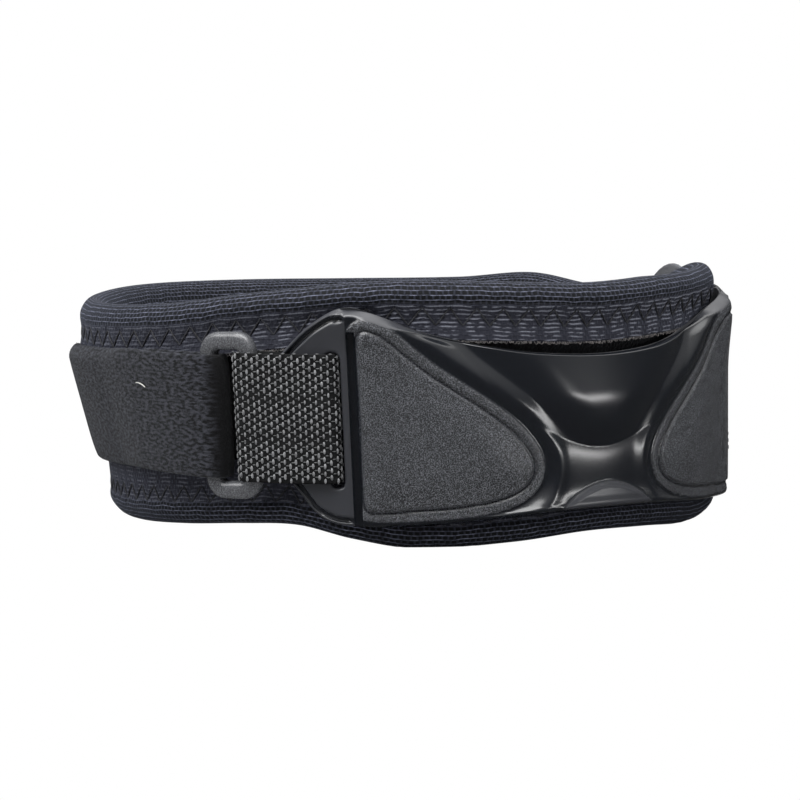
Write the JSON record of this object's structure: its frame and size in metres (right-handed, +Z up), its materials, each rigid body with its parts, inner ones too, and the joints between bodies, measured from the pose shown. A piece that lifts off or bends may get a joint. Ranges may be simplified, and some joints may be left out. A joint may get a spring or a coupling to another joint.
{
  "type": "patellar knee brace",
  "caption": "Padded knit loop that goes round the leg below the kneecap, with a moulded saddle plate in front and a hook-and-loop strap drawn through plastic rings.",
  "frame": {"origin": "middle of the whole brace's box, on the surface that its lower edge stands on", "axes": "+Z up along the leg, -Y out of the front plate, +X to the right of someone who looks at the plate"},
  "size_m": [0.1377, 0.1378, 0.0513],
  "materials": {
    "mesh_knit": "open mesh knit, navy black",
    "plush_foam": "soft plush-faced foam, black",
    "moulded_plate": "flexible moulded plastic, glossy with fine-grained panels",
    "loop_pile_strap": "fuzzy loop pile, dark grey",
    "woven_webbing": "woven webbing, dark grey",
    "ring_plastic": "satin moulded plastic, dark grey"
  },
  "bodies": {
    "root": {"knit_cover": "mesh_knit", "foam_core": "plush_foam", "front_plate": "moulded_plate", "fastening_strap": "loop_pile_strap", "webbing_left": "woven_webbing", "webbing_right": "woven_webbing", "ring_left": "ring_plastic", "ring_right": "ring_plastic"}
  },
  "joints": []
}
